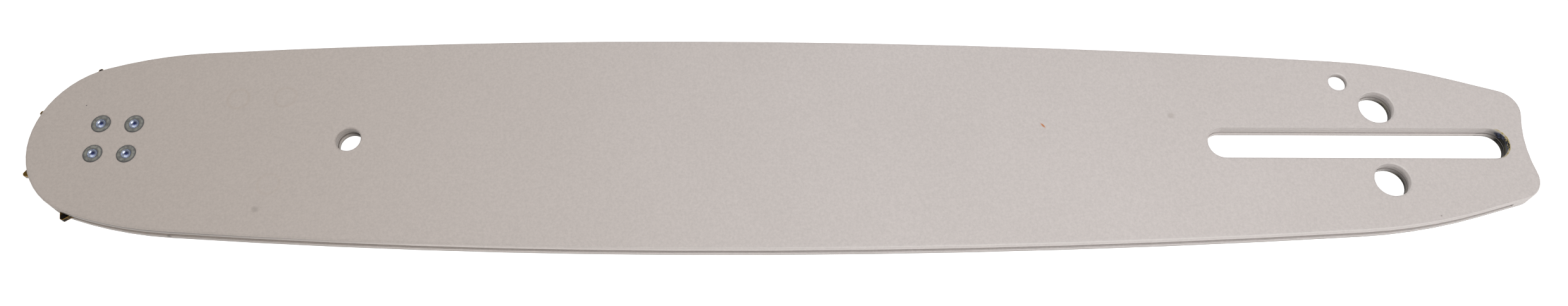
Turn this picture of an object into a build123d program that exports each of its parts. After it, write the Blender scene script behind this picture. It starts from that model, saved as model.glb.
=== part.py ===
from build123d import *
import math
import os

# Sprocket-nosed guide bar for a small chainsaw, lying flat on its back plate.
# Two steel rail plates are welded over a narrower core, so a chain groove is left along both sides.
# A star wheel turns on loose rollers round a hub that is riveted between the plates at the nose.
# Millimetres. The origin is the centre of the stud slot on the back face: +X to the tail, +Z up.

# Laminated stack
plate_thickness = 1.55
core_thickness = 1.3
edge_chamfer = 0.25
groove_depth = 6.0
groove_end_wall = 6.0
core_relief = 0.15
core_nose_setback = 17.0
opening_land = 2.0

# Outline, with distances along the bar taken from the centre of the stud slot
bar_width = 57.8
belly_distance = 167.7
nose_distance = 308.6
nose_narrowing = 7.5
nose_flare = 2.4
nose_blend_radius = 102.0
shoulder_offset = 12.85
shoulder_drop = 6.6
shoulder_radius = 133.0
tail_taper_angle = 16.7
tail_wall = 4.1
tail_hollow_radius = 33.3
tail_corner_radius = 5.9

# Stud slot, tension holes, hang hole and oil hole
slot_width = 8.2
slot_length = 73.4
tension_hole_diameter = 8.6
tension_hole_offset = 6.45
tension_hole_web = 1.6
hang_hole_diameter = 6.2
hang_hole_setback = 58.9
oil_hole_diameter = 4.6
oil_port_diameter = 8.6
oil_hole_offset = -1.8
oil_hole_setback = 6.1

# Nose rivets, flush with both faces: a flat head at the back, a punched crater in the set end
rivet_spacing = 8.4
rivet_shank_diameter = 3.2
rivet_head_diameter = 4.9
rivet_crater_diameter = 2.4
rivet_crater_depth = 0.5
rivet_clearance = 0.02

# Hub, rollers and star wheel of the nose bearing
hub_rim = 1.1
roller_diameter = 3.6
roller_count = 18
bearing_clearance = 0.05
side_clearance = 0.05
wheel_ring_width = 3.6
wheel_teeth = 8
tooth_stand_out = 1.55
tooth_tip_width = 0.7
tooth_tip_round = 0.2
tooth_root_round = 3.5
first_tooth_angle = -111.0
pocket_clearance = 0.8

# Sizes that follow from the ones above
total_thickness = 2 * plate_thickness + core_thickness
core_middle = plate_thickness + core_thickness / 2
nose_x = -nose_distance
nose_radius = bar_width / 2 - nose_narrowing
tail_reach = slot_length / 2 + tail_wall
groove_end = tail_reach - groove_end_wall
tension_hole_height = slot_width / 2 + tension_hole_web + tension_hole_diameter / 2
wheel_tip_radius = nose_radius + tooth_stand_out
hub_radius = rivet_spacing / math.sqrt(2) + rivet_shank_diameter / 2 + hub_rim
roller_circle_radius = hub_radius + bearing_clearance + roller_diameter / 2
wheel_bore_radius = roller_circle_radius + roller_diameter / 2 + bearing_clearance
wheel_root_radius = wheel_bore_radius + wheel_ring_width
wheel_thickness = core_thickness - 2 * side_clearance
pocket_radius = wheel_tip_radius + pocket_clearance

# Corners and arc centres of the upper half of the outline
nose_centre = Vector(nose_x, 0)
belly = Vector(-belly_distance, bar_width / 2)
neck = Vector(nose_x, nose_radius + nose_flare)
shoulder = Vector(shoulder_offset, bar_width / 2 - shoulder_drop)
hollow_centre = Vector(tail_reach + tail_hollow_radius, 0)


def level_arc_radius(top, end):
    """Radius of the arc that runs level through its top and falls to its end."""
    fall = top.Y - end.Y
    return ((end.X - top.X) ** 2 + fall**2) / (2 * fall)


front_side_radius = level_arc_radius(belly, neck)
rear_side_radius = level_arc_radius(belly, shoulder)
front_centre = belly - Vector(0, front_side_radius)
rear_centre = belly - Vector(0, rear_side_radius)
oil_edge = rear_centre.Y + math.sqrt(rear_side_radius**2 - (oil_hole_offset - belly.X) ** 2)
oil_hole_height = oil_edge - oil_hole_setback


def arc_about(centre, start, end):
    """Arc from start to end, the short way round the centre."""
    middle = centre + ((start - centre) + (end - centre)).normalized() * (start - centre).length
    return ThreePointArc(start, middle, end)


def circle_crossing(centre_a, radius_a, centre_b, radius_b):
    """Point right of the line from a to b where two circles cross."""
    along = (centre_b - centre_a).normalized()
    across = Vector(along.Y, -along.X)
    gap = (centre_b - centre_a).length
    reach = (gap**2 + radius_a**2 - radius_b**2) / (2 * gap)
    return centre_a + along * reach + across * math.sqrt(radius_a**2 - reach**2)


def ray_into_circle(start, direction, centre, radius):
    """Point where a ray from outside a circle first meets it."""
    from_centre = start - centre
    along = from_centre.dot(direction)
    beyond = from_centre.dot(from_centre) - radius**2
    return start - direction * (along + math.sqrt(along**2 - beyond))


def both_sides(point):
    """A point above the bar's long axis and its mirror image below."""
    return [point, Vector(point.X, -point.Y)]


def round_corners(sketch, points, radius):
    """Sketch with the corners nearest to some points rounded."""
    return fillet([sketch.vertices().sort_by_distance(point)[0] for point in points], radius)


def bar_outlines():
    """Outline with square tail corners, and the same with the tail corners rounded."""
    blend_centre = circle_crossing(
        front_centre,
        front_side_radius - nose_blend_radius,
        nose_centre,
        nose_blend_radius - nose_radius,
    )
    nose_end = nose_centre + (nose_centre - blend_centre).normalized() * nose_radius
    front_start = front_centre + (blend_centre - front_centre).normalized() * front_side_radius
    taper = math.radians(tail_taper_angle)
    downhill = Vector(math.cos(taper), -math.sin(taper))
    corner = ray_into_circle(shoulder, downhill, hollow_centre, tail_hollow_radius)
    upper = [
        arc_about(nose_centre, Vector(nose_x - nose_radius, 0), nose_end),
        arc_about(blend_centre, nose_end, front_start),
        arc_about(front_centre, front_start, belly),
        arc_about(rear_centre, belly, shoulder),
        Line(shoulder, corner),
        arc_about(hollow_centre, corner, Vector(tail_reach, 0)),
    ]
    lower = [mirror(edge, about=Plane.XZ) for edge in upper]
    square = round_corners(make_face(upper + lower), both_sides(shoulder), shoulder_radius)
    return square, round_corners(square, both_sides(corner), tail_corner_radius)


def openings(growth):
    """Stud slot, tension holes and hang hole, widened by a growth on every side."""
    sketch = SlotOverall(slot_length + 2 * growth, slot_width + 2 * growth)
    for place in both_sides(Vector(tension_hole_offset, tension_hole_height)):
        sketch += Pos(place) * Circle(tension_hole_diameter / 2 + growth)
    return sketch + Pos(nose_x + hang_hole_setback, 0) * Circle(hang_hole_diameter / 2 + growth)


def at_rivets():
    """Places of the rivets, on a square round the nose axis."""
    return Pos(nose_centre) * GridLocations(rivet_spacing, rivet_spacing, 2, 2)


def rail_plate(outline, oil_diameter):
    """Outer plate with its visible face up, its rims chamfered and its rivet seats sunk."""
    oil_opening = Pos(oil_hole_offset, oil_hole_height) * Circle(oil_diameter / 2)
    plate = extrude(outline - openings(0) - oil_opening, plate_thickness)
    plate = chamfer(plate.faces().sort_by(Axis.Z)[-1].edges(), edge_chamfer)
    seat = Cone(
        rivet_shank_diameter / 2 + rivet_clearance,
        rivet_head_diameter / 2 + rivet_clearance,
        plate_thickness,
        align=(Align.CENTER, Align.CENTER, Align.MIN),
    )
    return plate - [place * seat for place in at_rivets()]


def core_sheet(square_outline, outline):
    """Core, set back by the groove along the sides, flush at the tail and hollowed round the wheel."""
    beyond_groove = Pos(groove_end, 0) * Rectangle(bar_width, bar_width, align=(Align.MIN, Align.CENTER))
    sheet = offset(square_outline, -groove_depth) + openings(opening_land)
    sheet = outline & (sheet + beyond_groove)
    oil_notch = Circle(oil_port_diameter / 2) + Rectangle(
        oil_port_diameter, bar_width, align=(Align.CENTER, Align.MIN)
    )
    sheet -= Pos(oil_hole_offset, oil_hole_height) * oil_notch
    sheet -= Pos(nose_centre) * (Circle(pocket_radius) + Rectangle(2 * core_nose_setback, bar_width))
    return Pos(0, 0, plate_thickness) * extrude(sheet - openings(core_relief), core_thickness)


def rivet():
    """One rivet about its own axis, countersunk into both plates."""
    shank = rivet_shank_diameter / 2
    head = rivet_head_diameter / 2
    section = Polyline(
        (0, 0),
        (head, 0),
        (shank, plate_thickness),
        (shank, plate_thickness + core_thickness),
        (head, total_thickness),
        (rivet_crater_diameter / 2, total_thickness),
        (0, total_thickness - rivet_crater_depth),
        close=True,
    )
    return revolve(Plane.XZ * make_face(section), Axis.Z)


def nose_hub():
    """Inner race of the nose bearing, with a hole for each rivet."""
    disc = Pos(nose_centre) * Circle(hub_radius)
    disc -= [place * Circle(rivet_shank_diameter / 2 + rivet_clearance) for place in at_rivets()]
    return Pos(0, 0, plate_thickness) * extrude(disc, core_thickness)


def star_wheel():
    """Toothed wheel that carries the chain round the nose."""
    pitch = 360 / wheel_teeth
    half_tip = math.degrees(tooth_tip_width / 2 / wheel_tip_radius)
    profile = []
    for tooth in range(wheel_teeth):
        middle = first_tooth_angle + tooth * pitch
        profile.append(Vector(wheel_tip_radius, 0).rotate(Axis.Z, middle - half_tip))
        profile.append(Vector(wheel_tip_radius, 0).rotate(Axis.Z, middle + half_tip))
        profile.append(Vector(wheel_root_radius, 0).rotate(Axis.Z, middle + pitch / 2))
    star = make_face(Polyline(*profile, close=True))
    by_radius = star.vertices().sort_by_distance((0, 0))
    star = fillet(by_radius[:wheel_teeth], tooth_root_round)
    by_radius = star.vertices().sort_by_distance((0, 0))
    star = fillet(by_radius[-2 * wheel_teeth :], tooth_tip_round)
    star -= Circle(wheel_bore_radius)
    return Pos(nose_x, 0, plate_thickness + side_clearance) * extrude(star, wheel_thickness)


def rollers():
    """Bearing rollers, evenly spaced between the hub and the wheel."""
    places = Pos(nose_x, 0, core_middle) * PolarLocations(roller_circle_radius, roller_count)
    return [place * Cylinder(roller_diameter / 2, wheel_thickness) for place in places]


square_outline, outline = bar_outlines()
front_plate = rail_plate(outline, oil_hole_diameter)
back_plate = mirror(rail_plate(outline, oil_port_diameter), about=Plane.XY)

pieces = {
    "front_plate": Pos(0, 0, plate_thickness + core_thickness) * front_plate,
    "core_plate": core_sheet(square_outline, outline),
    "back_plate": Pos(0, 0, plate_thickness) * back_plate,
    "nose_sprocket": star_wheel(),
    "bearing_hub": nose_hub(),
    "nose_rivets": Compound([place * rivet() for place in at_rivets()]),
}
for number, roller in enumerate(rollers(), start=1):
    pieces[f"roller_{number:02d}"] = roller

os.makedirs("parts", exist_ok=True)
for name, piece in pieces.items():
    export_step(piece, f"parts/{name}.step")
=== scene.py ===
"""Looks of a chainsaw guide bar: painted laminated plates, set rivets and a star wheel in the nose.

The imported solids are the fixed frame: they keep their shape and place, and get their finishes here.
The rivets, and the burnt drops where the bar hung from a hook, are modelled here.
"""
import logging
import math
from collections.abc import Callable, Iterable
from dataclasses import dataclass, field
from enum import Enum
from typing import Any

import bmesh
import bpy
from bpy.types import Material, Node, NodeSocket, NodeTree, Object
from mathutils import Matrix, Vector


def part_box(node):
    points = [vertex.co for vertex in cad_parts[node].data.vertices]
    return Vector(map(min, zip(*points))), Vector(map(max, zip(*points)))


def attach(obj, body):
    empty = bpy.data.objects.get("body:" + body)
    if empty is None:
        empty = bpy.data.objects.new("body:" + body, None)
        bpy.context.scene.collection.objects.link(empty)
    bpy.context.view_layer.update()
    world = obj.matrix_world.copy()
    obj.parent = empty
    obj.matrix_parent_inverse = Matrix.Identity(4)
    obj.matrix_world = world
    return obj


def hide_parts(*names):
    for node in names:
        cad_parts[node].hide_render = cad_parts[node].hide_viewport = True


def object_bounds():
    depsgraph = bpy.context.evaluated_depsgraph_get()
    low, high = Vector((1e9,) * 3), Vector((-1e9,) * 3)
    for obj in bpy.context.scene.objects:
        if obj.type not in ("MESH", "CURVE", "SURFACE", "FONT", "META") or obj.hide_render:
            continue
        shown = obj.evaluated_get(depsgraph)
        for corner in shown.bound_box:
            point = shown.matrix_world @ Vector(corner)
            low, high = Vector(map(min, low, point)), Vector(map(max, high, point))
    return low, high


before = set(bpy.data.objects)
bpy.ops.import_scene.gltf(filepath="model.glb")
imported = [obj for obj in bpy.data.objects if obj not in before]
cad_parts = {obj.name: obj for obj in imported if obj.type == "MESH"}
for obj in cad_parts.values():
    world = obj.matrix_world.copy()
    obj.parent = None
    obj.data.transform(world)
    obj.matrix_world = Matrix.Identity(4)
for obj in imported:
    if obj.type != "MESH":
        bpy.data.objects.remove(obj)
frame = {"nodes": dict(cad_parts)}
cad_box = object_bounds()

log = logging.getLogger("guide_bar")

Pair = tuple[float, float]
Triple = tuple[float, float, float]

MM = 0.001
ORIGIN: Triple = (0.0, 0.0, 0.0)
IN_PLAN: Triple = (1.0, 1.0, 0.0)

# The stud slot: half the distance between its ends' centres, and its ends' radius.
SLOT_RUN_MM = 32.6
SLOT_RADIUS_MM = 4.1

# Names of a node's inputs, in the order in which add_nodes gets their values.
RAMP = ("Value", "From Min", "From Max", "To Min", "To Max")
NOISE = ("Vector", "Scale", "Detail", "Roughness")
FINE_DETAIL = 2.0
RICH_DETAIL = 3.0


def linear(hex_colour: str) -> tuple[float, float, float, float]:
    """Turn an sRGB hex colour into linear red, green and blue.

    Args:
        hex_colour: colour such as "#C8BFB8".

    Returns:
        Linear colour with an alpha of 1.
    """
    shares = [int(hex_colour[i : i + 2], 16) / 255 for i in (1, 3, 5)]
    red, green, blue = [s / 12.92 if s <= 0.04045 else ((s + 0.055) / 1.055) ** 2.4 for s in shares]
    return red, green, blue, 1.0


def frame_front() -> float:
    """Height of the bar's front face, in metres."""
    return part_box("front_plate")[1].z


def metres(*sizes_mm: float) -> tuple[float, ...]:
    """Turn millimetres into metres."""
    return tuple(size * MM for size in sizes_mm)


def per_metre(size_mm: float) -> float:
    """Scale of a pattern whose features are this many millimetres apart."""
    return 1.0 / (size_mm * MM)


def add_node(
    tree: NodeTree, kind: str, inputs: dict[Any, Any] | None = None, **settings: Any
) -> Node:
    """Add a node with its settings and links.

    Args:
        tree: node tree that gets the node.
        kind: type of node, such as "ShaderNodeMath".
        inputs: input name or number to its value, to a hex colour, or to what feeds it: an output,
            or a node, which feeds it by its first output in use.
        **settings: properties of the node.

    Returns:
        The new node.
    """
    node = tree.nodes.new(kind)
    for name, value in settings.items():
        setattr(node, name, value)
    for key, value in (inputs or {}).items():
        if isinstance(value, Node):
            value = next(output for output in value.outputs if output.enabled)
        if isinstance(value, NodeSocket):
            tree.links.new(value, node.inputs[key])
        else:
            node.inputs[key].default_value = linear(value) if isinstance(value, str) else value
    return node


def add_nodes(
    tree: NodeTree, kind: str, names: Iterable[Any], *rows: tuple[Any, ...], **settings: Any
) -> list[Node]:
    """Add nodes of one kind, one for each row of inputs.

    Args:
        tree: node tree that gets the nodes.
        kind: type of node.
        names: names or numbers of the inputs, in the rows' order.
        *rows: one node's inputs; those that a short row leaves out keep their defaults.
        **settings: properties of every node.

    Returns:
        The new nodes, in the rows' order.
    """
    return [add_node(tree, kind, dict(zip(names, row)), **settings) for row in rows]


def lay_over(tree: NodeTree, under: Any, *layers: tuple[Any, ...]) -> Node:
    """Lay colours over a colour, each through masks.

    Args:
        tree: node tree of the material.
        under: lowest colour, as a hex value, a node or an output.
        *layers: for each layer its colour, and then the masks that it shows through together.

    Returns:
        The node whose output is the last layer's colour.
    """
    for colour, share, *masks in layers:
        for mask in masks:
            share = add_node(tree, "ShaderNodeMath", {0: share, 1: mask}, operation="MULTIPLY")
        inputs = {"Factor": share, "A": under, "B": colour}
        under = add_node(tree, "ShaderNodeMix", inputs, data_type="RGBA")
    return under


@dataclass(frozen=True)
class Finish:
    """A surface finish, named for what the real one is.

    In every finish, a pair of numbers says where a ramp begins and where it is full.
    """

    name: str

    def material(self) -> Material:
        """Make the finish's material.

        Returns:
            A new material with its node tree filled in.
        """
        made = bpy.data.materials.new(self.name)
        made.use_nodes = True
        tree = made.node_tree
        tree.nodes.clear()
        place = add_node(tree, "ShaderNodeTexCoord").outputs["Object"]
        shader = add_node(tree, "ShaderNodeBsdfPrincipled", self.shade(tree, place))
        add_node(tree, "ShaderNodeOutputMaterial", {"Surface": shader})
        return made

    def shade(self, tree: NodeTree, place: NodeSocket) -> dict[str, Any]:
        """Add the nodes that feed the shader.

        Args:
            tree: node tree of the material.
            place: object coordinates.

        Returns:
            Inputs of the principled shader.
        """
        raise NotImplementedError


class MarkForm(Enum):
    """How a mark's strength runs outwards from its centre."""

    SPOT = "spot"
    RING = "ring"


@dataclass(frozen=True)
class PaintMark:
    """A small mark in the paint, in millimetres from the stud slot's centre on the back face.

    ``fade`` is where the mark begins to fade and where it ends, in shares of its radius. A ring's
    half width is its radius over ``ring_narrowness``.
    """

    x: float
    y: float
    length: float
    width: float
    colour: str
    strength: float
    z: float = 4.4
    height: float = 2.0
    turn_deg: float = 0.0
    form: MarkForm = MarkForm.SPOT
    fade: Pair = (0.25, 1.0)
    ring_narrowness: float = 5.0

    def laid(self, tree: NodeTree, place: NodeSocket, colour: Node) -> Node:
        """Lay the mark over a colour.

        Args:
            tree: node tree of the material.
            place: object coordinates.
            colour: colour under the mark.

        Returns:
            The colour with the mark in it.
        """
        centred = add_node(
            tree,
            "ShaderNodeMapping",
            {
                "Vector": place,
                "Location": metres(self.x, self.y, self.z),
                "Rotation": (0.0, 0.0, math.radians(self.turn_deg)),
                "Scale": metres(self.length / 2, self.width / 2, self.height / 2),
            },
            vector_type="TEXTURE",
        )
        away = add_node(tree, "ShaderNodeVectorMath", {0: centred}, operation="LENGTH")
        if self.form is MarkForm.RING:
            for operation, other in (
                ("SUBTRACT", 1.0),
                ("ABSOLUTE", 0.0),
                ("MULTIPLY", self.ring_narrowness),
            ):
                away = add_node(tree, "ShaderNodeMath", {0: away, 1: other}, operation=operation)
        (share,) = add_nodes(
            tree, "ShaderNodeMapRange", RAMP,
            (away, *self.fade, self.strength, 0.0),
            interpolation_type="SMOOTHSTEP",
        )
        return lay_over(tree, colour, (self.colour, share))


@dataclass(frozen=True)
class ShadedWall:
    """Painted shade on an opening's wall, drawn as dark steel under a thin coat.

    Places are in millimetres from the slot's centre. The opening is round, or a slot that runs
    ``run`` to either side of its middle. The painted shade begins where the wall's normal points
    along the bar by less than ``begins``, and is darkest where it points to the nose, away from the
    light. It begins ``start`` below the front face, and is full from ``reach`` below it. ``ledge``
    and ``foot`` are its shares on the lower plate's ledge and at its lowest rim. The next field is
    how far it is lifted on the lower plate's upper wall, drawn paler as painted light from below.
    ``skin`` is how far behind the wall its mask fades out.
    """

    x: float
    y: float
    radius: float
    run: float = 0.0
    begins: float = 0.9
    start: float = 0.3
    reach: float = 2.4
    ledge: float = 0.6
    foot: float = 0.9
    lit_band: float = 0.0
    skin: Pair = (0.5, 0.3)

    def inside(self, tree: NodeTree, place: NodeSocket) -> Node:
        """Mask of the opening and of its wall's skin.

        Args:
            tree: node tree of the material.
            place: object coordinates.

        Returns:
            Node whose output is 1 on the wall and 0 away from it.
        """
        away: Any = place
        for operation, other in (
            ("SUBTRACT", metres(self.x, self.y, 0.0)),
            ("ABSOLUTE", ORIGIN),
            ("SUBTRACT", metres(self.run, 0.0, 0.0)),
            ("MAXIMUM", ORIGIN),
            ("MULTIPLY", IN_PLAN),
            ("LENGTH", ORIGIN),
        ):
            away = add_node(tree, "ShaderNodeVectorMath", {0: away, 1: other}, operation=operation)
        outer, inner = metres(*(self.radius + depth for depth in self.skin))
        ramp = {"Value": away, "From Min": outer, "From Max": inner}
        return add_node(tree, "ShaderNodeMapRange", ramp)


@dataclass(frozen=True)
class PowderCoat(Finish):
    """Stone-grey polyester powder coat on steel, satin, with a fine orange peel.

    The eye sees an even warm grey with slow changes of tone, a soft broad highlight and rims that
    the coat has rounded. Towards the nose the coat is drawn a little browner, and darker as painted
    shade where the light falls off. Places are in millimetres from the stud slot's centre on the
    back face, and a facing is the part of the surface's normal along one axis.
    """

    marks: tuple[PaintMark, ...] = ()
    shaded_walls: tuple[ShadedWall, ...] = ()
    colour: str = "#CDC5C2"
    cloud_colour: str = "#C6BEBA"
    cloud_spacing_mm: float = 42.0
    # Towards the nose the coat is browner, and darker as painted shade where the light falls off.
    nose_tone_and_shade_colour: str = "#BBB0A8"
    nose_x_mm: Pair = (-95.0, -320.0)
    # Grains of powder are under 0.1 mm, too fine to show, so they are drawn as clumps.
    grain_spacing_mm: float = 0.6
    grain_roughness: float = 0.8
    grain_noise: Pair = (0.3, 0.7)
    grain_depth: float = 0.07
    # The satin surface: its gloss, its orange peel and its rounded rims.
    roughness: float = 0.48
    roughness_spread: float = 0.04
    ior: float = 1.5
    coat_specular: float = 0.5
    steel_specular: float = 0.08
    peel_spacing_mm: float = 1.1
    peel_height_mm: float = 0.010
    peel_strength: float = 0.35
    rim_round_mm: float = 0.6
    rim_samples: int = 6
    # Painted shade on the walls' lowest strip, down to the lower rim. The stud slot's walls, in the
    # middle, get less of it.
    foot_shade_colour: str = "#6A645E"
    foot_z_mm: Pair = (0.9, 0.3)
    foot_share: float = 0.9
    slot_y_mm: Pair = (5.0, 6.0)
    slot_share: float = 0.45
    upright_facing: Pair = (0.5, 0.2)
    # Painted shade on the wall round the nose; a painted highlight on the tail half's broken edge.
    nose_wall_shade_colour: str = "#57504B"
    nose_edge_x_mm: Pair = (-225.0, -280.0)
    nose_edge_share: float = 0.8
    nose_edge_below_mm: float = 0.4
    nose_edge_least: float = 0.35
    rim_colour: str = "#EAE4E0"
    rim_x_mm: Pair = (-220.0, -90.0)
    rim_highlight_share: float = 0.42
    rim_facings: tuple[Pair, Pair] = ((0.9, 0.75), (0.4, 0.6))
    # Painted shade in the openings, drawn as near-black steel with the striae of the punch.
    steel_shade_colour: str = "#15120B"
    streak_colour: str = "#7A7560"
    streak_noise: Pair = (0.54, 0.7)
    streak_share: float = 0.7
    stria_mm: float = 0.35
    stria_run_mm: float = 5.0
    ledge_z_mm: Pair = (1.55, 1.35)
    lit_band_bottom_z_mm: Pair = (0.7, 0.95)
    wall_foot_z_mm: Pair = (0.8, 0.3)
    ledge_facing: Pair = (0.6, 0.9)
    back_facing: Pair = (-0.5, -0.2)
    full_facing: float = -0.75
    shade_kept_share: Pair = (0.6, 0.8)
    # The bare patch at the slot's end.
    bare_colour: str = "#14141F"
    sheen_colour: str = "#464D63"
    sheen_spacing_mm: float = 0.8
    sheen_noise: Pair = (0.5, 0.68)
    scorch_colour: str = "#A08C3A"

    def shade(self, tree: NodeTree, place: NodeSocket) -> dict[str, Any]:
        """Add the coat, marks, painted shade and highlight, and the bare patch at the slot's end.

        Args:
            tree: node tree of the material.
            place: object coordinates.

        Returns:
            Inputs of the principled shader.
        """
        colour = self._edged(tree, place, self._coat_colour(tree, place))
        for mark in self.marks:
            colour = mark.laid(tree, place, colour)
        colour, wall_shade = self._wall_shaded(tree, place, colour)
        scorched, bare = HookMark().masks(tree, place)
        patchy, peel = add_nodes(
            tree, "ShaderNodeTexNoise", NOISE,
            (place, per_metre(self.sheen_spacing_mm), RICH_DETAIL),
            (place, per_metre(self.peel_spacing_mm), FINE_DETAIL),
        )
        spread = self.roughness_spread
        tinted, gloss, specular = add_nodes(
            tree, "ShaderNodeMapRange", RAMP,
            (patchy, *self.sheen_noise),
            (peel, 0.0, 1.0, self.roughness - spread, self.roughness + spread),
            (wall_shade, 0.0, 1.0, self.coat_specular, self.steel_specular),
        )
        burnt = lay_over(tree, self.bare_colour, (self.sheen_colour, tinted))
        colour = lay_over(tree, colour, (self.scorch_colour, scorched), (burnt, bare))
        rounded = add_node(
            tree, "ShaderNodeBevel", {"Radius": self.rim_round_mm * MM}, samples=self.rim_samples
        )
        bump = add_node(
            tree,
            "ShaderNodeBump",
            {
                "Strength": self.peel_strength,
                "Distance": self.peel_height_mm * MM,
                "Height": peel,
                "Normal": rounded,
            },
        )
        return {
            "Base Color": colour,
            "Specular IOR Level": specular,
            "Metallic": bare,
            "Roughness": gloss,
            "IOR": self.ior,
            "Normal": bump,
        }

    def _coat_colour(self, tree: NodeTree, place: NodeSocket) -> Node:
        """Colour of the bare coat, browner and with painted shade towards the nose.

        Args:
            tree: node tree of the material.
            place: object coordinates.

        Returns:
            The colour's node.
        """
        along = add_node(tree, "ShaderNodeSeparateXYZ", {"Vector": place}).outputs["X"]
        cloud, grain = add_nodes(
            tree, "ShaderNodeTexNoise", NOISE,
            (place, per_metre(self.cloud_spacing_mm), RICH_DETAIL),
            (place, per_metre(self.grain_spacing_mm), FINE_DETAIL, self.grain_roughness),
        )
        # Painted shade towards the nose, where the light falls off, over a browner tone.
        (to_nose,) = add_nodes(
            tree, "ShaderNodeMapRange", RAMP,
            (along, *metres(*self.nose_x_mm)),
            interpolation_type="SMOOTHSTEP",
        )
        (tone,) = add_nodes(
            tree, "ShaderNodeMapRange", RAMP,
            (grain, *self.grain_noise, 1.0 - self.grain_depth, 1.0 + self.grain_depth),
        )
        clouded = (self.cloud_colour, cloud)
        colour = lay_over(tree, self.colour, clouded, (self.nose_tone_and_shade_colour, to_nose))
        return add_node(tree, "ShaderNodeHueSaturation", {"Value": tone, "Color": colour})

    def _edged(self, tree: NodeTree, place: NodeSocket, colour: Node) -> Node:
        """Paint shade and a highlight on the upright walls and the outer edge.

        The upright walls get painted shade in their lowest strip, down to the lower rim. Round the
        nose they get brown painted shade where the light falls off, most at the top of the upper
        plate. Along the tail half the sloping broken edge gets a pale painted highlight.

        Args:
            tree: node tree of the material.
            place: object coordinates.
            colour: colour of the coat.

        Returns:
            The colour with these strips in it.
        """
        normal = add_node(tree, "ShaderNodeTexCoord").outputs["Normal"]
        facing = add_node(tree, "ShaderNodeSeparateXYZ", {"Vector": normal}).outputs
        where = add_node(tree, "ShaderNodeSeparateXYZ", {"Vector": place}).outputs
        level, aside = add_nodes(
            tree, "ShaderNodeMath", (0,), (facing["Z"],), (where["Y"],), operation="ABSOLUTE"
        )
        plate_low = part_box("front_plate")[0].z
        plate_high = frame_front() - self.nose_edge_below_mm * MM
        sloping_facing, leaning_facing = self.rim_facings
        upright, foot, outer, edge, near_nose, sloping, leaning, tail_highlight = add_nodes(
            tree, "ShaderNodeMapRange", RAMP,
            (level, *self.upright_facing),
            (where["Z"], *metres(*self.foot_z_mm), 0.0, self.foot_share),
            (aside, *metres(*self.slot_y_mm), self.slot_share),
            (where["Z"], plate_low, plate_high, self.nose_edge_least),
            (where["X"], *metres(*self.nose_edge_x_mm), 0.0, self.nose_edge_share),
            (level, *sloping_facing),
            (level, *leaning_facing),
            (where["X"], *metres(*self.rim_x_mm), 0.0, self.rim_highlight_share),
        )
        # Painted shade at the walls' foot and round the nose; a painted highlight on the tail's edge.
        return lay_over(
            tree,
            colour,
            (self.foot_shade_colour, upright, foot, outer),
            (self.nose_wall_shade_colour, edge, near_nose, outer, upright),
            (self.rim_colour, tail_highlight, sloping, leaning, outer),
        )

    def _wall_shaded(self, tree: NodeTree, place: NodeSocket, colour: Node) -> tuple[Node, Node]:
        """Paint shade as dark steel in the openings, more with depth and on walls facing the nose.

        Args:
            tree: node tree of the material.
            place: object coordinates.
            colour: colour of the coat.

        Returns:
            The colour with the painted shade in it, and how strong that shade is.
        """
        normal = add_node(tree, "ShaderNodeTexCoord").outputs["Normal"]
        facing = add_node(tree, "ShaderNodeSeparateXYZ", {"Vector": normal}).outputs
        height = add_node(tree, "ShaderNodeSeparateXYZ", {"Vector": place}).outputs["Z"]
        lit_band_top, lit_band_bottom, foot, upward, outside = add_nodes(
            tree, "ShaderNodeMapRange", RAMP,
            (height, *metres(*self.ledge_z_mm)),
            (height, *metres(*self.lit_band_bottom_z_mm)),
            (height, *metres(*self.wall_foot_z_mm)),
            (facing["Z"], *self.ledge_facing),
            (facing["Z"], *self.back_facing),
        )
        lit_band = add_node(tree, "ShaderNodeMath", {0: lit_band_top, 1: lit_band_bottom}, operation="MULTIPLY")
        steel = None
        for opening in self.shaded_walls:
            start, reach = (frame_front() - depth * MM for depth in (opening.start, opening.reach))
            shaded, deep, band_shade_left = add_nodes(
                tree, "ShaderNodeMapRange", RAMP,
                (facing["X"], opening.begins, self.full_facing),
                (height, start, reach),
                (lit_band, 0.0, 1.0, 1.0, 1.0 - opening.lit_band),
            )
            # Painted light from below lifts the shade on the lower plate's upper wall,
            # except on walls that face the nose.
            (shade_kept,) = add_nodes(
                tree, "ShaderNodeMapRange", RAMP, (shaded, *self.shade_kept_share, band_shade_left, 1.0)
            )
            on_ledge, at_foot = add_nodes(
                tree, "ShaderNodeMath", (0, 1),
                (upward, opening.ledge),
                (foot, opening.foot),
                operation="MULTIPLY",
            )
            part = shaded
            for operation, other in (
                ("MAXIMUM", on_ledge),
                ("MULTIPLY", deep),
                ("MULTIPLY", shade_kept),
                ("MAXIMUM", at_foot),
                ("MULTIPLY", opening.inside(tree, place)),
            ):
                part = add_node(tree, "ShaderNodeMath", {0: part, 1: other}, operation=operation)
            if steel is not None:
                part = add_node(tree, "ShaderNodeMath", {0: steel, 1: part}, operation="MAXIMUM")
            steel = part
        steel = add_node(tree, "ShaderNodeMath", {0: steel, 1: outside}, operation="MULTIPLY")
        run, across = per_metre(self.stria_run_mm), per_metre(self.stria_mm)
        stretched = add_node(
            tree, "ShaderNodeMapping", {"Vector": place, "Scale": (run, run, across)}
        )
        (striae,) = add_nodes(tree, "ShaderNodeTexNoise", NOISE, (stretched, 1.0, FINE_DETAIL))
        (streak,) = add_nodes(
            tree, "ShaderNodeMapRange", RAMP, (striae, *self.streak_noise, 0.0, self.streak_share)
        )
        # Painted shade: near-black steel, broken by the punch's paler striae.
        wall = lay_over(tree, self.steel_shade_colour, (self.streak_colour, streak))
        return lay_over(tree, colour, (wall, steel)), steel


@dataclass(frozen=True)
class HookPatch:
    """One bare patch, an ellipsoid in millimetres from the stud slot's centre."""

    place: Triple
    reach: Triple
    ragged: float


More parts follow.
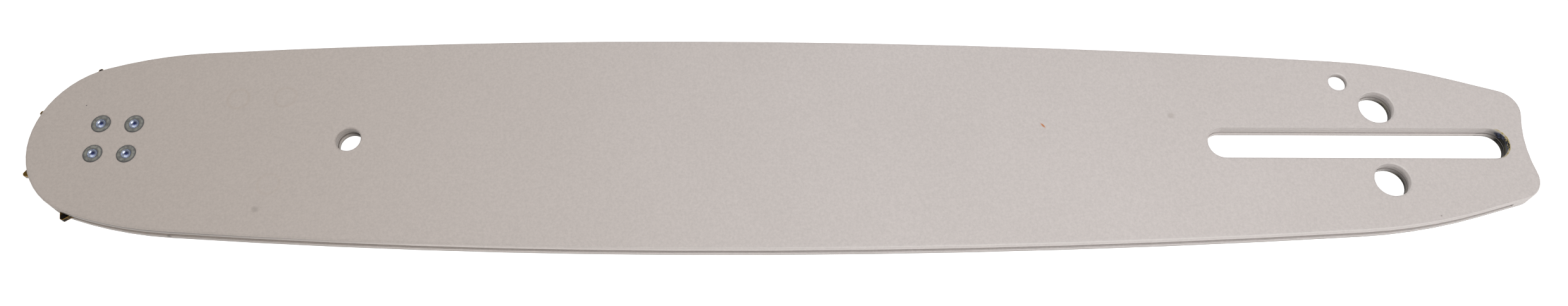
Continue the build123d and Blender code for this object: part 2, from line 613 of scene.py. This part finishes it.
@dataclass(frozen=True)
class HookMark:
    """Bare, scorched steel on the slot's end wall, where the bar hung from a hook to be coated.

    Sizes are in millimetres. ``skin`` and ``rim_skin`` are how far behind the wall the bare patch
    and the scorched rim fade out, and ``tail_shares`` are of the end's radius.
    """

    patches: tuple[HookPatch, ...] = (
        HookPatch(place=(35.7, 2.6, 2.9), reach=(1.9, 1.9, 1.4), ragged=1.1),
        HookPatch(place=(36.6, -0.2, 3.6), reach=(0.9, 2.2, 1.1), ragged=0.45),
    )
    skin: Pair = (0.1, 0.6)
    bare_edge: Pair = (1.35, 1.15)
    scorch_depth: float = 0.32
    scorch_spacing: float = 0.6
    scorch_noise: Pair = (0.3, 0.6)
    tail_shares: Pair = (0.3, 0.6)
    rim_skin: Pair = (0.32, 0.22)

    def masks(self, tree: NodeTree, place: NodeSocket) -> tuple[Node, Node]:
        """Make the mark's two masks.

        Args:
            tree: node tree of the material.
            place: object coordinates.

        Returns:
            The mask of the scorched rim, and that of the bare steel below it.
        """
        nearest = None
        for patch in self.patches:
            (ragged,) = add_nodes(
                tree, "ShaderNodeTexNoise", NOISE, (place, per_metre(patch.ragged), RICH_DETAIL)
            )
            (centred,) = add_nodes(
                tree, "ShaderNodeMapping", ("Vector", "Location", "Scale"),
                (place, metres(*patch.place), metres(*patch.reach)),
                vector_type="TEXTURE",
            )
            reach = add_node(tree, "ShaderNodeVectorMath", {0: centred}, operation="LENGTH")
            away = add_node(tree, "ShaderNodeMath", {0: reach, 1: ragged}, operation="ADD")
            if nearest is not None:
                away = add_node(tree, "ShaderNodeMath", {0: nearest, 1: away}, operation="MINIMUM")
            nearest = away
        end = metres(SLOT_RUN_MM, 0.0, 0.0)
        from_end = add_node(tree, "ShaderNodeVectorMath", {0: place, 1: end}, operation="SUBTRACT")
        where = add_node(tree, "ShaderNodeSeparateXYZ", {"Vector": from_end}).outputs
        radius = from_end
        for operation, other in (("MULTIPLY", IN_PLAN), ("LENGTH", ORIGIN)):
            radius = add_node(
                tree, "ShaderNodeVectorMath", {0: radius, 1: other}, operation=operation
            )
        (scorch,) = add_nodes(
            tree, "ShaderNodeTexNoise", NOISE, (place, per_metre(self.scorch_spacing), FINE_DETAIL)
        )
        front, depth = frame_front(), self.scorch_depth * MM
        beyond, rim, *others = add_nodes(
            tree, "ShaderNodeMapRange", RAMP,
            (radius, *metres(*(SLOT_RADIUS_MM + skin for skin in self.skin))),
            (scorch, *self.scorch_noise),
            (where["X"], *metres(*(SLOT_RADIUS_MM * share for share in self.tail_shares))),
            (radius, *metres(*(SLOT_RADIUS_MM + skin for skin in self.rim_skin))),
            (where["Z"], front - depth, front - depth / 2),
        )
        for other in others:
            rim = add_node(tree, "ShaderNodeMath", {0: rim, 1: other}, operation="MULTIPLY")
        nearest = add_node(tree, "ShaderNodeMath", {0: nearest, 1: beyond}, operation="ADD")
        (bare,) = add_nodes(tree, "ShaderNodeMapRange", RAMP, (nearest, *self.bare_edge))
        return rim, bare


@dataclass(frozen=True)
class SetRivetSteel(Finish):
    """Zinc-plated rivet steel: a matte pressed ring round a crater that the punch polished.

    The crater's pale bluish tone and its dark pit are painted reflections; the crater is also
    polished. Sizes are in millimetres. The crater's and the pit's shares are of the crater's
    radius, and the rim's are of the head's.
    """

    nose_x_mm: float = -308.6
    spacing_mm: float = 8.4
    crater_mm: float = 2.4
    head_mm: float = 4.9
    ring_colour: str = "#747371"
    worn_colour: str = "#A3A39B"
    wear_mm: float = 0.9
    wear_noise: Pair = (0.35, 0.65)
    worn_half_mm: float = 0.1
    # The crater's pale bluish tone is a painted reflection; its gloss is real polish.
    crater_reflection_colour: str = "#CBD4E6"
    crater_shares: Pair = (1.08, 0.92)
    # The dark pit is a painted reflection, set off the rivet's axis.
    pit_reflection_colour: str = "#252E66"
    pit_offset_mm: Triple = (-0.15, 0.3, 0.0)
    pit_shares: Pair = (0.8, 0.25)
    pit_strength: float = 0.95
    rim_colour: str = "#55565C"
    rim_shares: Pair = (0.86, 1.0)
    rim_strength: float = 0.8
    ring_roughness: float = 0.5
    crater_roughness: float = 0.2
    turning_mm: float = 0.16
    turning_share: float = 0.3
    pores_mm: float = 0.35
    relief_mm: float = 0.02
    relief_strength: float = 0.25

    def shade(self, tree: NodeTree, place: NodeSocket) -> dict[str, Any]:
        """Add rings about each rivet's axis.

        Args:
            tree: node tree of the material.
            place: object coordinates.

        Returns:
            Inputs of the principled shader.
        """
        to_nose = metres(-self.nose_x_mm, 0.0, 0.0)
        quarter = metres(self.spacing_mm / 2, self.spacing_mm / 2, 0.0)
        from_nose = add_node(tree, "ShaderNodeVectorMath", {0: place, 1: to_nose}, operation="ADD")
        axis = from_nose
        for operation, other in (("SIGN", ORIGIN), ("MULTIPLY", quarter)):
            axis = add_node(tree, "ShaderNodeVectorMath", {0: axis, 1: other}, operation=operation)
        flat = from_nose
        for operation, other in (("SUBTRACT", axis), ("MULTIPLY", IN_PLAN)):
            flat = add_node(tree, "ShaderNodeVectorMath", {0: flat, 1: other}, operation=operation)
        # Distances from the rivet's axis, and from the middle of its pit's painted dark reflection.
        radius, from_pit = add_nodes(
            tree, "ShaderNodeVectorMath", (0, 1),
            (flat, ORIGIN),
            (flat, metres(*self.pit_offset_mm)),
            operation="DISTANCE",
        )
        crater, head = metres(self.crater_mm / 2, self.head_mm / 2)
        middle = (crater + head) / 2
        off_middle = radius
        for operation, other in (("SUBTRACT", middle), ("ABSOLUTE", 0.0)):
            off_middle = add_node(
                tree, "ShaderNodeMath", {0: off_middle, 1: other}, operation=operation
            )
        patchy, pores = add_nodes(
            tree, "ShaderNodeTexNoise", NOISE,
            (place, per_metre(self.wear_mm), RICH_DETAIL),
            (place, per_metre(self.pores_mm), RICH_DETAIL),
        )
        in_crater, pit_reflection, at_rim, band, worn = add_nodes(
            tree, "ShaderNodeMapRange", RAMP,
            (radius, *(share * crater for share in self.crater_shares)),
            (from_pit, *(share * crater for share in self.pit_shares), 0.0, self.pit_strength),
            (radius, *(share * head for share in self.rim_shares), 0.0, self.rim_strength),
            (off_middle, head - middle, self.worn_half_mm * MM),
            (patchy, *self.wear_noise),
        )
        # The crater's pale bluish tone and the dark pit are painted reflections.
        colour = lay_over(
            tree,
            self.ring_colour,
            (self.worn_colour, band, worn),
            (self.crater_reflection_colour, in_crater),
            (self.pit_reflection_colour, pit_reflection),
            (self.rim_colour, at_rim),
        )
        (gloss,) = add_nodes(
            tree, "ShaderNodeMapRange", RAMP,
            (in_crater, 0.0, 1.0, self.ring_roughness, self.crater_roughness),
        )
        height = radius
        for operation, *others in (
            ("MULTIPLY", 2 * math.pi * per_metre(self.turning_mm)),
            ("SINE",),
            ("MULTIPLY_ADD", self.turning_share, pores),
        ):
            inputs = dict(enumerate((height, *others)))
            height = add_node(tree, "ShaderNodeMath", inputs, operation=operation)
        relief = self.relief_mm * MM
        bump = add_node(
            tree,
            "ShaderNodeBump",
            {"Strength": self.relief_strength, "Distance": relief, "Height": height},
        )
        return {"Base Color": colour, "Metallic": 1.0, "Roughness": gloss, "Normal": bump}


@dataclass(frozen=True)
class OiledToolSteel(Finish):
    """Oiled brown-black hardened steel, straw temper, and worn edges with a painted highlight."""

    dark_colour: str = "#1C1815"
    straw_colour: str = "#8A6A2E"
    tint_spacing_mm: float = 3.0
    tint_noise: Pair = (0.45, 0.75)
    edge_wear_and_highlight_colour: str = "#D8A63C"
    edge_mm: float = 0.16
    edge_samples: int = 8
    edge_turn: Pair = (0.98, 0.86)
    edge_share: float = 0.9
    roughness: float = 0.34
    roughness_spread: float = 0.1
    scratch_spacing_mm: float = 0.3
    scratch_depth_mm: float = 0.01
    scratch_strength: float = 0.2

    def shade(self, tree: NodeTree, place: NodeSocket) -> dict[str, Any]:
        """Add temper tints and fine scratches.

        Args:
            tree: node tree of the material.
            place: object coordinates.

        Returns:
            Inputs of the principled shader.
        """
        tint, scratch = add_nodes(
            tree, "ShaderNodeTexNoise", NOISE,
            (place, per_metre(self.tint_spacing_mm), RICH_DETAIL),
            (place, per_metre(self.scratch_spacing_mm), FINE_DETAIL),
        )
        # Near an edge the rounded normal leaves the face's own: straw wear and a painted highlight.
        rounded = add_node(
            tree, "ShaderNodeBevel", {"Radius": self.edge_mm * MM}, samples=self.edge_samples
        )
        flat = add_node(tree, "ShaderNodeNewGeometry").outputs["True Normal"]
        inputs = {0: rounded, 1: flat}
        turn = add_node(tree, "ShaderNodeVectorMath", inputs, operation="DOT_PRODUCT")
        spread = self.roughness_spread
        temper, edge, gloss = add_nodes(
            tree, "ShaderNodeMapRange", RAMP,
            (tint, *self.tint_noise),
            (turn, *self.edge_turn, 0.0, self.edge_share),
            (scratch, 0.0, 1.0, self.roughness - spread, self.roughness + spread),
        )
        # Straw on the edges: wear, and a painted highlight.
        colour = lay_over(
            tree, self.dark_colour, (self.straw_colour, temper), (self.edge_wear_and_highlight_colour, edge)
        )
        depth = self.scratch_depth_mm * MM
        bump = add_node(
            tree,
            "ShaderNodeBump",
            {"Strength": self.scratch_strength, "Distance": depth, "Height": scratch},
        )
        return {"Base Color": colour, "Metallic": 1.0, "Roughness": gloss, "Normal": bump}


@dataclass(frozen=True)
class GroundBearingSteel(Finish):
    """Ground bearing steel with a film of grease, bright with grinding lines across its height."""

    bright_colour: str = "#B9B8B4"
    greased_colour: str = "#8A8377"
    film_spacing_mm: float = 2.5
    # Grinding lines are some hundredths of a millimetre apart, so they are drawn coarser.
    grinding_mm: float = 0.2
    grinding_waver: float = 1.0
    wave_radians: float = 20.0
    # The smoothest and the roughest of these lines.
    roughness: Pair = (0.21, 0.34)

    def shade(self, tree: NodeTree, place: NodeSocket) -> dict[str, Any]:
        """Add grinding lines and a patchy film.

        Args:
            tree: node tree of the material.
            place: object coordinates.

        Returns:
            Inputs of the principled shader.
        """
        (film,) = add_nodes(
            tree, "ShaderNodeTexNoise", NOISE, (place, per_metre(self.film_spacing_mm), FINE_DETAIL)
        )
        colour = lay_over(tree, self.bright_colour, (self.greased_colour, film))
        # A wave texture turns by this many radians for each unit of its scale.
        scale = per_metre(self.grinding_mm) / self.wave_radians
        lines = add_node(
            tree,
            "ShaderNodeTexWave",
            {"Vector": place, "Scale": scale, "Distortion": self.grinding_waver},
            bands_direction="Z",
        )
        (gloss,) = add_nodes(
            tree, "ShaderNodeMapRange", RAMP, (lines.outputs["Fac"], 0.0, 1.0, *self.roughness)
        )
        return {"Base Color": colour, "Metallic": 1.0, "Roughness": gloss}


@dataclass(frozen=True)
class PaleTable(Finish):
    """Opal light table: it glows from below, so it stays white under the bar and in openings."""

    colour: str = "#A8A7A5"
    cloud_colour: str = "#A4A3A1"
    cloud_spacing_mm: float = 180.0
    roughness: float = 0.7
    glow_colour: str = "#FFFFFF"
    glow: float = 0.92

    def shade(self, tree: NodeTree, place: NodeSocket) -> dict[str, Any]:
        """Add a faint change of tone.

        Args:
            tree: node tree of the material.
            place: object coordinates.

        Returns:
            Inputs of the principled shader.
        """
        (cloud,) = add_nodes(
            tree, "ShaderNodeTexNoise", NOISE, (place, per_metre(self.cloud_spacing_mm))
        )
        return {
            "Base Color": lay_over(tree, self.colour, (self.cloud_colour, cloud)),
            "Roughness": self.roughness,
            "Emission Color": self.glow_colour,
            "Emission Strength": self.glow,
        }


@dataclass(frozen=True)
class ScorchedPowder(Finish):
    """Powder burnt by the hook's touch: blue-black crust with straw-yellow edges, half glossy."""

    crust_colour: str = "#17151C"
    straw_colour: str = "#B8A564"
    roughness: float = 0.35
    spacing_mm: float = 0.35
    straw_noise: Pair = (0.48, 0.66)
    crust_mm: float = 0.05
    crust_strength: float = 0.4

    def shade(self, tree: NodeTree, place: NodeSocket) -> dict[str, Any]:
        """Add a crust that breaks up into straw yellow.

        Args:
            tree: node tree of the material.
            place: object coordinates.

        Returns:
            Inputs of the principled shader.
        """
        (broken,) = add_nodes(
            tree, "ShaderNodeTexNoise", NOISE, (place, per_metre(self.spacing_mm), FINE_DETAIL)
        )
        (share,) = add_nodes(tree, "ShaderNodeMapRange", RAMP, (broken, *self.straw_noise))
        colour = lay_over(tree, self.crust_colour, (self.straw_colour, share))
        crust = self.crust_mm * MM
        bump = add_node(
            tree,
            "ShaderNodeBump",
            {"Strength": self.crust_strength, "Distance": crust, "Height": broken},
        )
        return {"Base Color": colour, "Roughness": self.roughness, "Normal": bump}


def dress(piece: Object, material: Material) -> None:
    """Give a piece one material all over.

    Args:
        piece: CAD node or modelled piece.
        material: its finish.
    """
    if not piece.material_slots:
        piece.data.materials.append(material)
    for slot in piece.material_slots:
        slot.material = material
    log.info("%s: %s", piece.name, material.name)


def select_only(piece: Object, picked: Callable[[Any], bool], edges: bool = False) -> None:
    """Select some faces or edges of the piece that is in edit mode, and nothing else.

    Args:
        piece: object in edit mode.
        picked: test of a face or an edge.
        edges: whether edges are tested, and not faces.
    """
    bpy.ops.mesh.select_mode(type="EDGE" if edges else "FACE")
    bpy.ops.mesh.select_all(action="DESELECT")
    mesh = bmesh.from_edit_mesh(piece.data)
    for part in mesh.edges if edges else mesh.faces:
        part.select_set(picked(part))
    bmesh.update_edit_mesh(piece.data)


def copied(master: Object, places: Iterable[Matrix], name: str) -> Object:
    """Copy a modelled master to its places, each copy with its own mesh, and join the copies.

    Args:
        master: the piece to copy, about the origin; it is removed.
        places: where each copy goes.
        name: name of the joined piece.

    Returns:
        The joined piece.
    """
    copies = []
    for place in places:
        copy = master.copy()
        copy.data = master.data.copy()
        copy.data.transform(place)
        bpy.context.scene.collection.objects.link(copy)
        copies.append(copy)
    bpy.data.objects.remove(master)
    bpy.ops.object.select_all(action="DESELECT")
    for copy in copies:
        copy.select_set(True)
    bpy.context.view_layer.objects.active = copies[0]
    bpy.ops.object.join()
    piece = bpy.context.view_layer.objects.active
    piece.name = name
    return piece


@dataclass
class LaminatedBar:
    """Two rail plates over a core, all under one powder coat."""

    nodes: dict[str, Object]
    weld_mm: float = 5.4
    weld_colour: str = "#A8937F"
    front_marks: tuple[PaintMark, ...] = field(init=False)
    chip: PaintMark = PaintMark(
        x=-290.1, y=-25.0, length=1.9, width=2.0, colour="#16130F", strength=0.95,
        z=1.25, height=0.8,
    )
    # Walls of the openings that get painted shade, drawn as steel under a thin coat.
    openings: tuple[ShadedWall, ...] = (
        ShadedWall(x=-249.7, y=0.0, radius=3.1, begins=1.4),
        ShadedWall(x=6.45, y=10.0, radius=4.3, begins=0.7, reach=3.7),
        ShadedWall(x=6.45, y=-10.0, radius=4.3, begins=0.7, reach=3.7),
        ShadedWall(x=-1.8, y=17.2, radius=2.3, reach=1.7),
        ShadedWall(
            x=0.0, y=0.0, radius=SLOT_RADIUS_MM, run=SLOT_RUN_MM, begins=0.11, reach=1.3,
            ledge=0.0, foot=0.0, lit_band=0.75,
        ),
        ShadedWall(x=SLOT_RUN_MM, y=0.0, radius=SLOT_RADIUS_MM, begins=0.1, start=0.1, reach=0.9),
    )

    def __post_init__(self) -> None:
        """Set out the small marks that the front face has: specks, a scratch and weld rings."""
        scratch = PaintMark(
            x=-76.9, y=4.5, length=2.3, width=0.7, colour="#BE7434", strength=0.95, turn_deg=-50.0
        )
        weld = dict(
            length=self.weld_mm, width=self.weld_mm, colour=self.weld_colour, form=MarkForm.RING
        )
        self.front_marks = (
            PaintMark(x=-317.8, y=9.4, length=0.5, width=0.4, colour="#2B1F2E", strength=0.95),
            scratch,
            PaintMark(x=-44.9, y=7.4, length=2.6, width=2.2, colour="#A49A93", strength=0.42),
            PaintMark(x=-269.2, y=-19.2, length=2.6, width=2.4, colour="#8E857E", strength=0.42),
            PaintMark(x=15.9, y=-19.6, length=0.6, width=0.5, colour="#7A7069", strength=0.7),
            PaintMark(x=-279.5, y=11.4, strength=0.14, **weld),
            PaintMark(x=-267.6, y=12.0, strength=0.12, **weld),
            PaintMark(x=-267.2, y=-12.4, strength=0.1, **weld),
        )

    def dress(self) -> None:
        """Coat the plates and the core."""
        for coat_name, marks, node_names in (
            ("stone powder coat, front face", self.front_marks, ("front_plate",)),
            ("stone powder coat, back face and core", (self.chip,), ("back_plate", "core_plate")),
        ):
            coat = PowderCoat(name=coat_name, marks=marks, shaded_walls=self.openings).material()
            for name in node_names:
                dress(self.nodes[name], coat)


@dataclass
class NoseRivets:
    """Four set rivets round the nose axis, sizes in millimetres."""

    head_diameter: float = 4.9
    shank_diameter: float = 3.2
    crater_diameter: float = 2.4
    crater_depth: float = 0.55
    crater_steps: int = 6
    edge_break: float = 0.12
    edge_segments: int = 2
    lip_round: float = 0.1
    lip_segments: int = 3
    sides: int = 56
    end_facing: float = 0.9
    rim_slack: float = 0.02
    top_slack: float = 0.01
    smooth_deg: float = 40.0

    def build(self) -> Object:
        """Model one rivet, copy it to its four places and join the copies.

        Returns:
            The finished piece.
        """
        low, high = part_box("nose_rivets")
        middle = (low + high) / 2
        reach_x = (high.x - low.x - self.head_diameter * MM) / 2
        reach_y = (high.y - low.y - self.head_diameter * MM) / 2
        places = [
            Matrix.Translation((middle.x + side_x * reach_x, middle.y + side_y * reach_y, 0.0))
            for side_x in (-1, 1)
            for side_y in (-1, 1)
        ]
        piece = copied(self._model(low.z, high.z), places, "nose_rivet_set")
        dress(piece, SetRivetSteel(name="set rivet steel", nose_x_mm=middle.x / MM).material())
        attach(piece, "bar")
        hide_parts("nose_rivets")
        return piece

    def _model(self, back: float, front: float) -> Object:
        """Model one rivet on the Z axis.

        Args:
            back: height of the back face, in metres.
            front: height of the front face, in metres.

        Returns:
            The rivet, with its place in its mesh.
        """
        shank = self.shank_diameter / 2 * MM
        head = self.head_diameter / 2 * MM
        crater = self.crater_diameter / 2 * MM
        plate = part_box("front_plate")[0].z
        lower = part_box("back_plate")[1].z
        bpy.ops.object.select_all(action="DESELECT")
        bpy.ops.mesh.primitive_cylinder_add(
            vertices=self.sides,
            radius=shank,
            depth=plate - lower,
            location=(0.0, 0.0, (plate + lower) / 2),
        )
        piece = bpy.context.view_layer.objects.active
        bpy.ops.object.transform_apply(location=True)
        bpy.ops.object.mode_set(mode="EDIT")
        widen = (head / shank, head / shank, 1.0)
        for rise, side in ((back - lower, -1), (front - plate, 1)):
            select_only(piece, lambda face, side=side: face.normal.z * side > self.end_facing)
            bpy.ops.mesh.extrude_region_move(TRANSFORM_OT_translate={"value": (0.0, 0.0, rise)})
            bpy.ops.transform.resize(value=widen, center_override=ORIGIN)
        bpy.ops.mesh.inset(thickness=head - crater, depth=0.0)
        self._punch(crater)
        top = front - self.top_slack * MM
        for radius, offset, segments in (
            (head, self.edge_break, self.edge_segments),
            (crater, self.lip_round, self.lip_segments),
        ):
            select_only(
                piece, lambda edge, radius=radius: self._on_rim(edge, radius, top), edges=True
            )
            bpy.ops.mesh.bevel(offset=offset * MM, segments=segments, affect="EDGES")
        bpy.ops.object.mode_set(mode="OBJECT")
        bpy.ops.object.shade_smooth_by_angle(angle=math.radians(self.smooth_deg))
        return piece

    def _punch(self, crater: float) -> None:
        """Sink the selected end face into a round-bottomed crater.

        Args:
            crater: radius of the crater, in metres.
        """
        depth = self.crater_depth * MM
        steps = self.crater_steps + 1
        turns = [math.pi / 2 * step / steps for step in range(steps)]
        for start, end in zip(turns, turns[1:]):
            bpy.ops.mesh.inset(
                thickness=crater * (math.cos(start) - math.cos(end)),
                depth=-depth * (math.sin(end) - math.sin(start)),
            )

    def _on_rim(self, edge: bmesh.types.BMEdge, radius: float, height: float) -> bool:
        """Whether both ends of an edge lie on a circle about Z, above a height."""
        return all(
            abs(math.hypot(v.co.x, v.co.y) - radius) < self.rim_slack * MM and v.co.z > height
            for v in edge.verts
        )


@dataclass
class HookDrops:
    """Drops of burnt powder on the rim of the stud slot's end, in millimetres.

    Each drop has a bearing about the end's centre, in degrees from the tail, a radius and a depth
    below the front face.
    """

    drops: tuple[Triple, ...] = (
        (24.0, 0.26, 0.45),
        (15.0, 0.34, 0.55),
        (5.0, 0.24, 0.35),
        (-3.0, 0.36, 0.6),
        (-13.0, 0.3, 0.4),
        (-20.0, 0.22, 0.3),
    )
    squash: float = 0.7
    drip_width: float = 0.85
    drip_length: float = 1.3
    segments: int = 16

    def build(self) -> Object:
        """Model one drop, copy it to its places and join the copies.

        Returns:
            The finished piece.
        """
        end = Vector((SLOT_RUN_MM * MM, 0.0, frame_front()))
        places = []
        for bearing, radius, depth in self.drops:
            turn = Matrix.Rotation(math.radians(bearing), 4, "Z")
            reach = turn @ Vector(metres(SLOT_RADIUS_MM, 0.0, -depth))
            places.append(Matrix.Translation(end + reach) @ turn @ Matrix.Scale(radius, 4))
        piece = copied(self._model(), places, "burnt_powder_drops")
        dress(piece, ScorchedPowder(name="burnt powder").material())
        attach(piece, "bar")
        return piece

    def _model(self) -> Object:
        """Model one drop of 1 mm radius: flat against the wall, with its lower half drawn out.

        Returns:
            The drop, about the origin.
        """
        bpy.ops.object.select_all(action="DESELECT")
        bpy.ops.mesh.primitive_uv_sphere_add(
            segments=self.segments, ring_count=self.segments // 2, radius=MM
        )
        piece = bpy.context.view_layer.objects.active
        bpy.ops.object.mode_set(mode="EDIT")
        bpy.ops.mesh.select_all(action="SELECT")
        flatten = (self.squash, 1.0, self.squash)
        bpy.ops.transform.resize(value=flatten, center_override=ORIGIN)
        select_only(piece, lambda face: face.calc_center_median().z < 0.0)
        draw_out = (self.drip_width, self.drip_width, self.drip_length)
        bpy.ops.transform.resize(value=draw_out, center_override=ORIGIN)
        bpy.ops.object.mode_set(mode="OBJECT")
        bpy.ops.object.shade_smooth()
        return piece


@dataclass
class NoseBearing:
    """Star wheel, rollers and hub of the nose."""

    nodes: dict[str, Object]

    def dress(self) -> None:
        """Give the wheel its oil finish, and the hub and the rollers their ground steel."""
        dress(self.nodes["nose_sprocket"], OiledToolSteel(name="oiled tool steel").material())
        ground = GroundBearingSteel(name="ground bearing steel").material()
        for name in sorted(self.nodes):
            if name == "bearing_hub" or name.startswith("roller_"):
                dress(self.nodes[name], ground)


@dataclass(frozen=True)
class SoftBox:
    """A large soft lamp, in metres from the stud slot's centre."""

    name: str
    place: Triple
    aim: Triple
    size: float
    watts: float
    colour: str = "#FFFFFF"

    def build(self) -> Object:
        """Hang the lamp.

        Returns:
            The lamp's object.
        """
        lamp = bpy.data.lights.new(self.name, "AREA")
        lamp.shape = "DISK"
        lamp.size = self.size
        lamp.energy = self.watts
        lamp.color = linear(self.colour)[:3]
        made = bpy.data.objects.new(self.name, lamp)
        bpy.context.scene.collection.objects.link(made)
        made.location = self.place
        ahead = Vector(self.aim) - Vector(self.place)
        made.rotation_euler = ahead.to_track_quat("-Z", "Y").to_euler()
        return made


@dataclass(frozen=True)
class PhotoCamera:
    """Camera that stands where the photograph was taken from, in millimetres and pixels."""

    target: Triple = (-141.22, -1.18, 0.0)
    distance: float = 316.05
    elevation_deg: float = 63.07
    heading_deg: float = 1.96
    roll_deg: float = -1.55
    focal_px: float = 1997.9
    image_width_px: float = 2480.0
    sensor_width: float = 36.0
    clip_start: float = 10.0

    def build(self) -> Object:
        """Set up the camera and make it the scene's.

        Returns:
            The camera's object.
        """
        lens = bpy.data.cameras.new("photo_camera")
        lens.sensor_fit = "HORIZONTAL"
        lens.sensor_width = self.sensor_width
        lens.lens = self.focal_px / self.image_width_px * self.sensor_width
        lens.clip_start = self.clip_start * MM
        made = bpy.data.objects.new("photo_camera", lens)
        bpy.context.scene.collection.objects.link(made)
        rise, heading = math.radians(self.elevation_deg), math.radians(self.heading_deg)
        level = Vector((math.sin(heading), -math.cos(heading), 0.0))
        back = level * math.cos(rise) + Vector((0.0, 0.0, math.sin(rise)))
        right = Vector((math.cos(heading), math.sin(heading), 0.0))
        right = Matrix.Rotation(math.radians(self.roll_deg), 3, back) @ right
        axes = Matrix((right, back.cross(right), back)).transposed()
        place = Vector(self.target) * MM + back * self.distance * MM
        made.matrix_world = Matrix.Translation(place) @ axes.to_4x4()
        bpy.context.scene.camera = made
        return made


@dataclass
class Studio:
    """Pale table, soft lamps, sky and camera."""

    table_size: float = 14.0
    sky_colour: str = "#FFFFFF"
    sky_strength: float = 0.38
    lamps: tuple[SoftBox, ...] = (
        SoftBox("key_lamp", place=(0.0, -0.14, 0.5), aim=(-0.05, 0.0, 0.0), size=0.5, watts=1.9),
        SoftBox("far_lamp", place=(-0.55, 0.42, 0.5), aim=(-0.25, 0.0, 0.0), size=0.5, watts=0.6),
    )

    def build(self) -> None:
        """Lay the table, hang the lamps and place the camera."""
        bpy.ops.object.select_all(action="DESELECT")
        middle = (cad_box[0].x / 2, 0.0, cad_box[0].z)
        bpy.ops.mesh.primitive_plane_add(size=self.table_size, location=middle)
        table = bpy.context.view_layer.objects.active
        table.name = "pale_table"
        dress(table, PaleTable(name="lit white table").material())
        for lamp in self.lamps:
            lamp.build()
        sky = bpy.data.worlds.new("studio_sky")
        sky.use_nodes = True
        glow = sky.node_tree.nodes["Background"].inputs
        glow["Color"].default_value = linear(self.sky_colour)
        glow["Strength"].default_value = self.sky_strength
        bpy.context.scene.world = sky
        bpy.context.scene.view_settings.view_transform = "Standard"
        PhotoCamera().build()


def main() -> None:
    """Set up the studio, dress the solids, and model the burnt drops and the rivets."""
    logging.basicConfig(level=logging.INFO, format="%(name)s: %(message)s")
    Studio().build()
    LaminatedBar(nodes=frame["nodes"]).dress()
    HookDrops().build()
    NoseRivets().build()
    NoseBearing(nodes=frame["nodes"]).dress()


if __name__ == "__main__":
    main()
